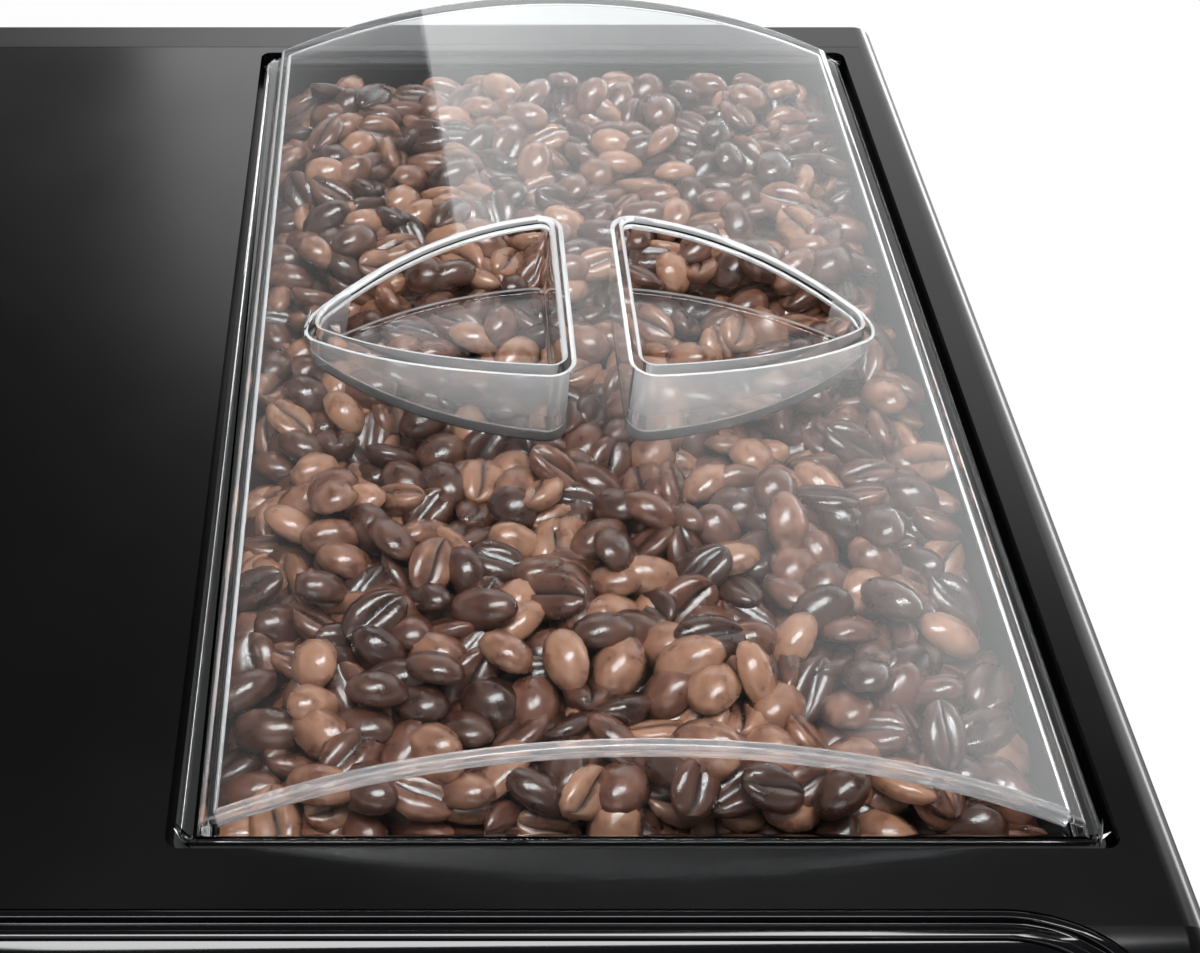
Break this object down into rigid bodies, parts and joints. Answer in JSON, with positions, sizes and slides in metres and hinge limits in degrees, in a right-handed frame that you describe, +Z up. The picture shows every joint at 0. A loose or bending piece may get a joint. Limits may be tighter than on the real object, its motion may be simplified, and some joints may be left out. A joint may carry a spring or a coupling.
{
  "type": "bean to cup coffee machine",
  "caption": "Black bean to cup coffee machine with a hopper under a clear arched lid, sloping controls, height-adjustable spout, front tank and drip tray.",
  "frame": {"origin": "centre of the machine's footprint, on the surface it stands on", "axes": "+Z up, -Y towards the front with the drip tray, +X to the right"},
  "size_m": [0.248, 0.4, 0.3915],
  "materials": {
    "casing_black": "satin moulded black",
    "front_gloss_black": "gloss black",
    "base_black": "fine grained black",
    "rubber_black": "matt rubber",
    "clear_plastic": "clear, polished",
    "tinted_plastic": "smoke tinted, clear",
    "lid_grey": "satin dark grey",
    "display_glass": "dark window",
    "button_steel": "satin chrome",
    "steel": "brushed",
    "burr_steel": "hardened, ground",
    "motor_steel": "zinc plated",
    "heater_aluminium": "die cast",
    "piston_white": "natural white moulded",
    "hose_clear": "milky silicone",
    "board_green": "solder mask",
    "float_red": "satin red",
    "rocker_red": "satin red",
    "roasted_bean": "roasted, slightly oily"
  },
  "bodies": {
    "machine": {"base_frame": "base_black", "bean_hopper": "base_black", "brew_frame": "base_black", "casing_screws": "steel", "chassis_frame": "base_black", "coffee_beans": "roasted_bean", "coffee_chute": "base_black", "control_board": "board_green", "deck_cover": "casing_black", "display_window": "display_glass", "door_hinge_pins": "steel", "fascia_frame": "front_gloss_black", "fascia_panel": "front_gloss_black", "finger_guard": "base_black", "flow_meter": "base_black", "front_cover": "front_gloss_black", "gear_motor": "motor_steel", "grinder_housing": "base_black", "grinder_motor": "motor_steel", "left_side_panel": "casing_black", "niche_liner": "front_gloss_black", "power_inlet": "base_black", "pump_mounts": "rubber_black", "rear_panel": "casing_black", "right_side_panel": "casing_black", "rubber_feet": "rubber_black", "supply_board": "board_green", "switch_housing": "base_black", "tank_bay": "base_black", "water_heater": "heater_aluminium", "water_hoses": "hose_clear", "water_pump": "motor_steel"},
    "lid": {"hopper_lid": "clear_plastic", "lid_seal": "rubber_black"},
    "grind_setting": {"grind_ring": "base_black", "upper_burr": "burr_steel"},
    "burr_rotor": {"grinder_shaft": "steel", "lower_burr": "burr_steel"},
    "tank": {"water_tank": "tinted_plastic", "tank_lid": "lid_grey", "tank_valve": "rubber_black"},
    "tray": {"drip_tray": "base_black", "grounds_container": "base_black"},
    "grid": {"drip_grid": "steel"},
    "float": {"tray_float": "float_red"},
    "spout": {"spout_slide": "front_gloss_black", "spout_nozzles": "base_black"},
    "door": {"service_door": "casing_black"},
    "dial": {"selector_dial": "button_steel"},
    "spindle": {"brew_spindle": "steel"},
    "piston": {"brew_piston": "piston_white"},
    "chamber": {"brew_chamber": "base_black"},
    "rocker": {"power_rocker": "rocker_red"},
    "power_key": {"power_button": "button_steel"},
    "espresso_key": {"espresso_button": "button_steel"},
    "coffee_key": {"coffee_button": "button_steel"},
    "long_key": {"long_button": "button_steel"},
    "hot_water_key": {"hot_water_button": "button_steel"}
  },
  "joints": [
    {"name": "lid_lift", "type": "slide", "parent": "machine", "child": "lid", "axis": [0, 0, 1], "range_m": [0, 0.08]},
    {"name": "grind_adjust", "type": "hinge", "parent": "machine", "child": "grind_setting", "pos_m": [0.045, 0.09, 0.286], "axis": [0, 0, 1], "range_deg": [-12, 12]},
    {"name": "burr_drive", "type": "hinge", "parent": "machine", "child": "burr_rotor", "pos_m": [0.045, 0.09, 0.27], "axis": [0, 0, 1], "continuous": true},
    {"name": "tank_pull", "type": "slide", "parent": "machine", "child": "tank", "axis": [0, -1, 0], "range_m": [0, 0.21]},
    {"name": "tray_pull", "type": "slide", "parent": "machine", "child": "tray", "axis": [0, -1, 0], "range_m": [0, 0.26]},
    {"name": "grid_lift", "type": "slide", "parent": "tray", "child": "grid", "axis": [0, 0, 1], "range_m": [0, 0.03]},
    {"name": "float_rise", "type": "slide", "parent": "tray", "child": "float", "axis": [0, 0, 1], "range_m": [0, 0.006]},
    {"name": "spout_height", "type": "slide", "parent": "machine", "child": "spout", "axis": [0, 0, 1], "range_m": [-0.035, 0]},
    {"name": "door_hinge", "type": "hinge", "parent": "machine", "child": "door", "pos_m": [0.1225, 0.0605, 0.224], "axis": [0, 0, 1], "range_deg": [0, 95]},
    {"name": "dial_turn", "type": "hinge", "parent": "machine", "child": "dial", "pos_m": [0.082, -0.09104, 0.34071], "axis": [0, -0.8829, 0.4695], "continuous": true},
    {"name": "spindle_turn", "type": "hinge", "parent": "machine", "child": "spindle", "pos_m": [0.092, -0.022, 0.2], "axis": [0, 0, 1], "range_deg": [-2040, 0]},
    {"name": "piston_press", "type": "slide", "parent": "machine", "child": "piston", "axis": [0, 0, 1], "range_m": [-0.045, 0]},
    {"name": "chamber_tilt", "type": "hinge", "parent": "machine", "child": "chamber", "pos_m": [0.045, 0.002, 0.18], "axis": [1, 0, 0], "range_deg": [0, 40]},
    {"name": "rocker_tilt", "type": "hinge", "parent": "machine", "child": "rocker", "pos_m": [-0.086, 0.194, 0.096], "axis": [1, 0, 0], "range_deg": [-8, 8]},
    {"name": "power_press", "type": "slide", "parent": "machine", "child": "power_key", "axis": [0, 0.8829, -0.4695], "range_m": [0, 0.0012], "stiffness_N_per_m": 300},
    {"name": "espresso_press", "type": "slide", "parent": "machine", "child": "espresso_key", "axis": [0, 0.8829, -0.4695], "range_m": [0, 0.0012], "stiffness_N_per_m": 300},
    {"name": "coffee_press", "type": "slide", "parent": "machine", "child": "coffee_key", "axis": [0, 0.8829, -0.4695], "range_m": [0, 0.0012], "stiffness_N_per_m": 300},
    {"name": "long_press", "type": "slide", "parent": "machine", "child": "long_key", "axis": [0, 0.8829, -0.4695], "range_m": [0, 0.0012], "stiffness_N_per_m": 300},
    {"name": "hot_water_press", "type": "slide", "parent": "machine", "child": "hot_water_key", "axis": [0, 0.8829, -0.4695], "range_m": [0, 0.0012], "stiffness_N_per_m": 300}
  ],
  "couplings": [
    {"joint": "spindle_turn", "follows": "piston_press", "rad_per_m": 785.4}
  ]
}
